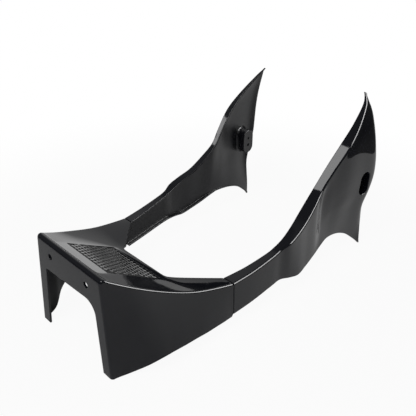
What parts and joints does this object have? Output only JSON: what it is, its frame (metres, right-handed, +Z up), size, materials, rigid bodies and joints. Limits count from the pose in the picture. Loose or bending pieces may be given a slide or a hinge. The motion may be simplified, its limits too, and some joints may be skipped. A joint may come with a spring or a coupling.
{
  "type": "motorcycle fairing",
  "caption": "Moulded motorcycle fairing: a centre bridge on legs with a textured top, and channel-shaped side arms that sweep back and rise into pointed wings.",
  "frame": {"origin": "on the ground below the middle of the fairing's width and length", "axes": "+X to the fairing's right as seen from its front face, +Y from the front face back to the wings, +Z up"},
  "size_m": [0.2854, 0.5228, 0.273],
  "materials": {
    "gloss_black": "high gloss moulded black",
    "satin_black": "satin black with raised diamonds",
    "zinc": "bright zinc plate"
  },
  "bodies": {
    "root": {"centre_bridge": "gloss_black", "texture_panel": "satin_black", "left_arm": "gloss_black", "right_arm": "gloss_black", "left_upper_screw": "zinc", "left_lower_screw": "zinc", "right_upper_screw": "zinc", "right_lower_screw": "zinc"}
  },
  "joints": []
}
